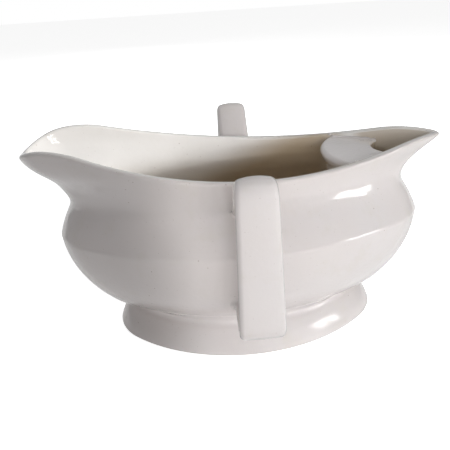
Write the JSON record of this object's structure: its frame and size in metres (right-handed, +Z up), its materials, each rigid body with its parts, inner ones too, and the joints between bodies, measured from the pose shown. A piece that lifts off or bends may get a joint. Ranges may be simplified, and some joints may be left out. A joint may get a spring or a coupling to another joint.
{
  "type": "gravy boat",
  "caption": "Two-lipped oval gravy boat on a flared foot, with strap handles and a separator that leads the lean gravy to the narrow lip.",
  "frame": {"origin": "centre of the foot's resting plane, which is also the centre of the object's length and width", "axes": "+Z up; +X towards the narrow lip that pours from behind the separator; -Y towards the front handle"},
  "size_m": [0.2192, 0.16, 0.1096],
  "materials": {
    "glazed_ceramic": "clear glossy glaze over warm white earthenware"
  },
  "bodies": {
    "root": {"bowl_shell": "glazed_ceramic", "foot_ring": "glazed_ceramic", "front_handle": "glazed_ceramic", "rear_handle": "glazed_ceramic", "separator": "glazed_ceramic"}
  },
  "joints": []
}
